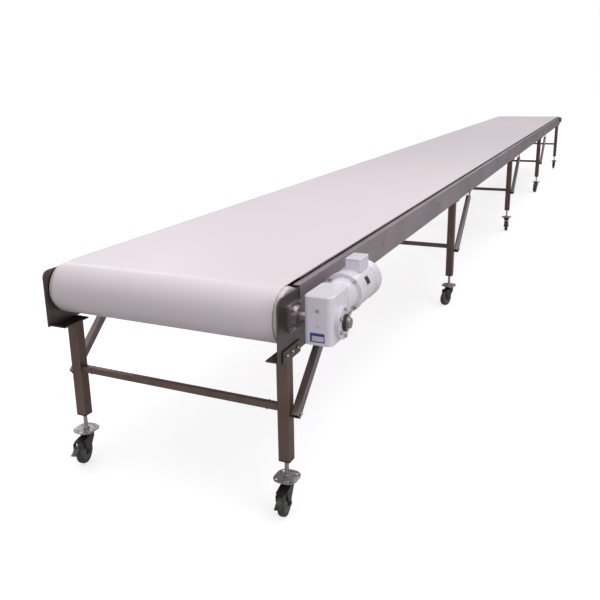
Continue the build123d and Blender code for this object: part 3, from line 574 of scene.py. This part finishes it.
# Take-up blocks: cast bearing blocks that slide in the guides, each on a long adjusting screw
# with a lock nut against the end lug.
screw_radius = 0.006
takeup_block_half = 0.032
screw_root = 0.002
lock_nut_across = 0.019
lock_nut_height = 0.009
screw_spots = []
screw_ends = []
for low, high in mesh_islands("takeup_bearings"):
    middle_y = (low.y + high.y) / 2
    middle_z = (low.z + high.z) / 2
    screw_ends.append(high.x)
    screw_spots.append((middle_y, middle_z))
places = {joint["name"]: Vector(joint["pos_m"]) for joint in frame["record"]["behaviour"]["joints"]
          if "pos_m" in joint}
ways = {joint["name"]: Vector(joint["axis"]) for joint in frame["record"]["behaviour"]["joints"]}
tail_place = places["tail_spin"]
block_stop = tail_place.x + takeup_block_half
dressed("takeup_bearings", cast_steel, 0.0015, cut=(0, block_stop + 0.001), screws=[
    ((block_stop - screw_root, y, z), (1, 0, 0), screw_radius, stop - block_stop + screw_root)
    for (y, z), stop in zip(screw_spots, screw_ends)])
lug_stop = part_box("takeup_frames")[1].x
bolt_heads("takeup_nuts", [(lug_stop, y, z) for y, z in screw_spots], [(1, 0, 0)] * 2,
           lock_nut_across, lock_nut_height, "frame", "bright_steel")

# Belt: a two-ply band with a smooth white cover, a little pink, faintly stained where goods
# have lain and scuffed along its run. It is neither glossy nor quite flat.
belt_cover = Finish("belt_cover", (0.82, 0.745, 0.785), 0.24)
belt_cloud = belt_cover.ramp(belt_cover.noise(1.6, detail=3.0), 0.35, 0.65)
belt_stain = belt_cover.noise(0.55, stretch=(1.6, 1, 1), detail=5.0, shift=(3, 7, 0))
belt_stain = belt_cover.ramp(belt_stain, 0.58, 0.78)
belt_scuff = belt_cover.ramp(belt_cover.noise(0.12, stretch=(9, 1, 1), detail=2.0), 0.40, 0.90)
belt_color = belt_cover.mix(belt_cloud, (0.83, 0.755, 0.785), (0.83, 0.74, 0.79))
belt_color = belt_cover.mix(belt_stain * 0.40, belt_color, (0.78, 0.69, 0.62))
belt_color = belt_cover.mix(belt_scuff * 0.08, belt_color, (0.66, 0.62, 0.63))
belt_cover.paint(color=belt_color, roughness=0.33 + belt_cloud * 0.04 + belt_scuff * 0.02)
belt_cover.bump(belt_cover.noise(0.5, detail=0.0), 0.0004, 0.2)
dressed("belt", belt_cover.material, 0.0008)

# Gearbox: a cast case in white enamel, chamfered at the top, with a round output cover, a plug,
# a level glass and a blank blue plate on its front. The shaft has a dark seal and a snap ring.
enamel_light = (0.80, 0.765, 0.85)
enamel_dull = (0.765, 0.725, 0.80)
enamel = Finish("white_enamel", enamel_light, 0.26, coat=0.5)
enamel_cloud = enamel.ramp(enamel.noise(0.05, detail=4.0), 0.35, 0.65)
enamel.paint(color=enamel.mix(enamel_cloud, enamel_light, enamel_dull),
             roughness=0.22 + enamel_cloud * 0.10)
enamel.bump(enamel.noise(0.0025, detail=2.0), 0.00008, 0.3)
dressed("gearbox_housing", enamel.material, 0.0035, corner=30)
seal_rubber = Finish("seal_rubber", (0.03, 0.028, 0.03), 0.45)
seal_rubber.paint(roughness=0.4 + seal_rubber.noise(0.003) * 0.2)
drive_place = places["drive_spin"]
case_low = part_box("gearbox_housing")[0]
case_face_y = case_low.y
seal_outline = [(0.0178, 0), (0.0290, 0), (0.0290, 0.0035), (0.0275, 0.0050), (0.0178, 0.0050)]
turned("output_seal", seal_outline, (drive_place.x, case_face_y, drive_place.z), (0, -1, 0),
       seal_rubber.material, "frame", "dark_plug")
ring_gap = 0.0075
ring_outline = [(0.0176, 0), (0.0225, 0), (0.0228, 0.0008), (0.0225, 0.0016), (0.0176, 0.0016)]
turned("snap_ring", ring_outline, (drive_place.x, case_face_y - ring_gap, drive_place.z), (0, -1, 0),
       bolt_steel, "drive_pulley", "bright_steel")
cover_bolt_count = 6
cover_bolt_reach = 0.045
cover_bolt_across = 0.010
cover_bolt_height = 0.0045
cover_bolts = []
for index in range(cover_bolt_count):
    angle = math.radians(360 / cover_bolt_count * (index + 0.5))
    cover_bolts.append((drive_place.x + cover_bolt_reach * math.cos(angle), case_face_y,
                        drive_place.z + cover_bolt_reach * math.sin(angle)))
bolt_heads("cover_bolts", cover_bolts, [(0, -1, 0)] * cover_bolt_count, cover_bolt_across,
           cover_bolt_height, "frame", "bright_steel")


def panel(name, low, high, round_off, finish, body, slot):
    """A flat plate with its corners and edges rounded."""
    work = bmesh.new()
    bmesh.ops.create_cube(work, size=1)
    size = Vector(high) - Vector(low)
    middle = (Vector(high) + Vector(low)) / 2
    for vert in work.verts:
        vert.co = middle + Vector(vert.co[k] * size[k] for k in range(3))
    bmesh.ops.bevel(work, geom=work.edges, offset=round_off, segments=3, affect="EDGES", profile=0.5)
    bmesh.ops.recalc_face_normals(work, faces=work.faces)
    mesh = bpy.data.meshes.new(name)
    work.to_mesh(mesh)
    work.free()
    return hold(finished(name, mesh, finish), body, slot)


case_inner_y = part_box("torque_arm")[0].y
front_x = case_low.x
plug_across = 0.009
plug_height = 0.0045


def on_case(inward, rise, proud):
    """A place on the gearbox's front, by its distance from the inner side, its height above the
    case's foot, and how far it stands out."""
    return (front_x - proud, case_inner_y - inward, case_low.z + rise)


plate_blue = Finish("plate_blue", (0.035, 0.05, 0.30), 0.30, coat=0.4)
plate_blue.paint(roughness=0.26 + plate_blue.noise(0.01) * 0.12)
plate_white = Finish("plate_white", (0.60, 0.60, 0.66), 0.35)
plate_white.paint(roughness=0.32 + plate_white.noise(0.01) * 0.1)
panel("name_plate_blank", on_case(0.074, 0.011, 0.0014), on_case(0.024, 0.042, -0.0006), 0.0005,
      plate_blue.material, "frame", "dark_plug")
panel("name_plate_field", on_case(0.071, 0.015, 0.0020), on_case(0.031, 0.032, 0.0004), 0.0004,
      plate_white.material, "frame", "white_paint")
bolt_heads("case_plug", [on_case(0.050, 0.116, 0.0002)], [(-1, 0, 0)], plug_across, plug_height,
           "frame", "bright_steel")
glass_outline = [(0, 0), (0.0046, 0), (0.0046, 0.0018), (0.0036, 0.0028), (0, 0.0028)]
turned("level_glass", glass_outline, on_case(0.054, 0.066, 0.0002), (-1, 0, 0),
       plate_white.material, "frame", "white_paint")

# Motor: a smooth enamelled body behind a grooved flange, a fan cover whose end carries dark rings
# of painted shade for its vents, and a terminal box with a screwed lid. A dark clip is bent round the body.
for node in ("motor_frame", "fan_cover", "terminal_box", "terminal_lid"):
    dressed(node, enamel.material, 0.0022)
motor_low, motor_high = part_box("motor_frame")
motor_y = (motor_low.y + motor_high.y) / 2
motor_z = (motor_low.z + motor_high.z) / 2
motor_radius = (motor_high.z - motor_low.z) / 2
motor_start = (motor_low.x, motor_y, motor_z)
round_steps = 64
flange_outline = [(motor_radius - 0.002, 0.001), (motor_radius + 0.0015, 0.001),
                  (motor_radius + 0.003, 0.0025), (motor_radius + 0.003, 0.0105),
                  (motor_radius + 0.0015, 0.012), (motor_radius - 0.002, 0.012)]
turned("motor_flange", flange_outline, motor_start, (1, 0, 0), enamel.material, "frame",
       "white_paint", round_steps)
groove_outline = [(motor_radius - 0.004, -0.0016), (motor_radius + 0.0004, -0.0016),
                  (motor_radius + 0.0004, 0.001), (motor_radius - 0.004, 0.001)]
turned("flange_groove", groove_outline, motor_start, (1, 0, 0), seal_rubber.material, "frame",
       "dark_plug", round_steps)

cover_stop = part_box("fan_cover")[1].x
# The vent rings are flat dark rings on the cover's end: painted shade for the vent openings.
vent_shade = Finish("vent_shade", (0.04, 0.04, 0.045), 0.6)
vent_shade.paint(roughness=0.5 + vent_shade.noise(0.003) * 0.2)
vent_radius = 0.046
vent_pitch = 0.010
vent_half = 0.0030
vent_depth = 0.0008
for ring in range(4):
    radius = vent_radius - vent_pitch * ring
    vent_outline = [(radius - vent_half, -vent_depth), (radius + vent_half, -vent_depth),
                    (radius + vent_half, 0.0), (radius - vent_half, 0.0)]
    turned(f"vent_ring_{ring + 1}", vent_outline, (cover_stop, motor_y, motor_z), (1, 0, 0),
           vent_shade.material, "frame", "dark_plug")
lid_low, lid_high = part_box("terminal_lid")
lid_inset = 0.009
lid_screw_sink = 0.0026
lid_screw_across = 0.0060
lid_screw_height = 0.0024
lid_spots = [(x, y, lid_high.z - lid_screw_sink)
             for x in (lid_low.x + lid_inset, lid_high.x - lid_inset)
             for y in (lid_low.y + lid_inset, lid_high.y - lid_inset)]
bolt_heads("lid_screws", lid_spots, [(0, 0, 1)] * len(lid_spots), lid_screw_across,
           lid_screw_height, "frame", "bright_steel")
flange_bolt_count = 4
flange_bolt_reach = 0.0655
flange_bolt_across = 0.0085
flange_bolt_height = 0.005
flange_thickness = 0.0105
flange_spots = []
for index in range(flange_bolt_count):
    angle = math.radians(360 / flange_bolt_count * (index + 0.5))
    flange_spots.append((motor_low.x - flange_thickness, motor_y + flange_bolt_reach * math.cos(angle),
                         motor_z + flange_bolt_reach * math.sin(angle)))
bolt_heads("flange_bolts", flange_spots, [(-1, 0, 0)] * flange_bolt_count, flange_bolt_across,
           flange_bolt_height, "frame", "bright_steel")


def bent_strip(name, middle, radius, width, thickness, start, stop, finish, body, slot):
    """A strip bent round an X axis from one angle to another, lying on a round body."""
    work = bmesh.new()
    steps = 12
    rings = []
    for step in range(steps + 1):
        angle = math.radians(start + (stop - start) * step / steps)
        ring = []
        for reach, shift in ((radius, -width / 2), (radius, width / 2),
                             (radius + thickness, width / 2), (radius + thickness, -width / 2)):
            ring.append(work.verts.new((middle[0] + shift, middle[1] + reach * math.cos(angle),
                                        middle[2] + reach * math.sin(angle))))
        rings.append(ring)
    for here, there in zip(rings, rings[1:]):
        for index in range(4):
            work.faces.new((here[index], here[(index + 1) % 4], there[(index + 1) % 4], there[index]))
    work.faces.new(rings[0])
    work.faces.new(rings[-1][::-1])
    bmesh.ops.recalc_face_normals(work, faces=work.faces)
    mesh = bpy.data.meshes.new(name)
    work.to_mesh(mesh)
    work.free()
    return hold(finished(name, mesh, finish), body, slot)


clip_back = 0.092
clip_sink = 0.0005
clip_width = 0.026
clip_thickness = 0.0030
clip_start = 141
clip_stop = 163
bent_strip("cable_clip", (motor_high.x - clip_back, motor_y, motor_z), motor_radius - clip_sink,
           clip_width, clip_thickness, clip_start, clip_stop, seal_rubber.material, "frame",
           "dark_plug")

# Casters: each hangs on a threaded stem that runs up into its post's plug, locked by a nut. A
# dark swivel fork holds a rubber tyre on a moulded hub, and the pair at the drive end has brakes.
caster_steel = worn_steel("caster_steel", (0.50, 0.47, 0.475), 0.42, (1, 1, 1), shade=0.35,
                          grain_size=0.003)
fork_steel = worn_steel("fork_steel", (0.13, 0.12, 0.115), 0.38, (1, 1, 1), shade=0.4, grain_size=0.003)
tyre_rubber = Finish("tyre_rubber", (0.060, 0.058, 0.056), 0.55)
tyre_dust = tyre_rubber.ramp(tyre_rubber.noise(0.012, detail=4.0), 0.4, 0.75)
tyre_rubber.paint(color=tyre_rubber.mix(tyre_dust, (0.050, 0.048, 0.046), (0.095, 0.090, 0.085)),
                  roughness=0.48 + tyre_dust * 0.2)
hub_grey = Finish("hub_grey", (0.14, 0.14, 0.135), 0.42)
hub_grey.paint(roughness=0.38 + hub_grey.noise(0.006) * 0.16)


def both_sides(half):
    """A wheel's outline from its half: the same points again, mirrored across the middle."""
    return half + [(radius, -height) for radius, height in reversed(half)]


tyre_outline = both_sides([(0.0350, -0.0130), (0.0420, -0.0139), (0.0470, -0.0122),
                           (0.0493, -0.0080), (0.0499, -0.0030)])
hub_outline = both_sides([(0.0053, -0.0139), (0.0160, -0.0139), (0.0174, -0.0125), (0.0190, -0.0085),
                          (0.0305, -0.0075), (0.0332, -0.0115), (0.0356, -0.0126)])
stem_radius = 0.008
stem_length = 0.165
stem_root = 0.002
stem_nut_across = 0.024
stem_nut_height = 0.010
leg_count = 5
for number in range(1, leg_count + 1):
    stems = f"caster_stems_{number}"
    plate_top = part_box(stems)[1].z - stem_length
    stem_x = places[f"swivel_{number}_right"].x
    stem_ys = [places[f"swivel_{number}_{side}"].y for side in ("right", "left")]
    dressed(stems, caster_steel, 0.0008, cut=(2, plate_top + 0.001), screws=[
        ((stem_x, y, plate_top - stem_root), (0, 0, 1), stem_radius, stem_length + stem_root)
        for y in stem_ys])
    bolt_heads(f"stem_nuts_{number}", [(stem_x, y, plate_top) for y in stem_ys], [(0, 0, 1)] * 2,
               stem_nut_across, stem_nut_height, frame["nodes"][stems]["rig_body"], "bright_steel")
    for side in ("right", "left"):
        fork = f"fork_{number}_{side}"
        wheel = f"wheel_{number}_{side}"
        dressed(fork, fork_steel, 0.0010)
        wheel_body = frame["nodes"][wheel]["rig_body"]
        centre, spin = places[f"roll_{number}_{side}"], ways[f"roll_{number}_{side}"]
        tyre = turned(f"tyre_{number}_{side}", tyre_outline, centre, spin, tyre_rubber.material,
                      wheel_body, "wheel_rubber", round_steps, 50)
        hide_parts(wheel)
        turned(f"hub_{number}_{side}", hub_outline, centre, spin, hub_grey.material, wheel_body,
               "dark_plug")
for side in ("right", "left"):
    dressed(f"brake_pedal_{side}", fork_steel, 0.0008)
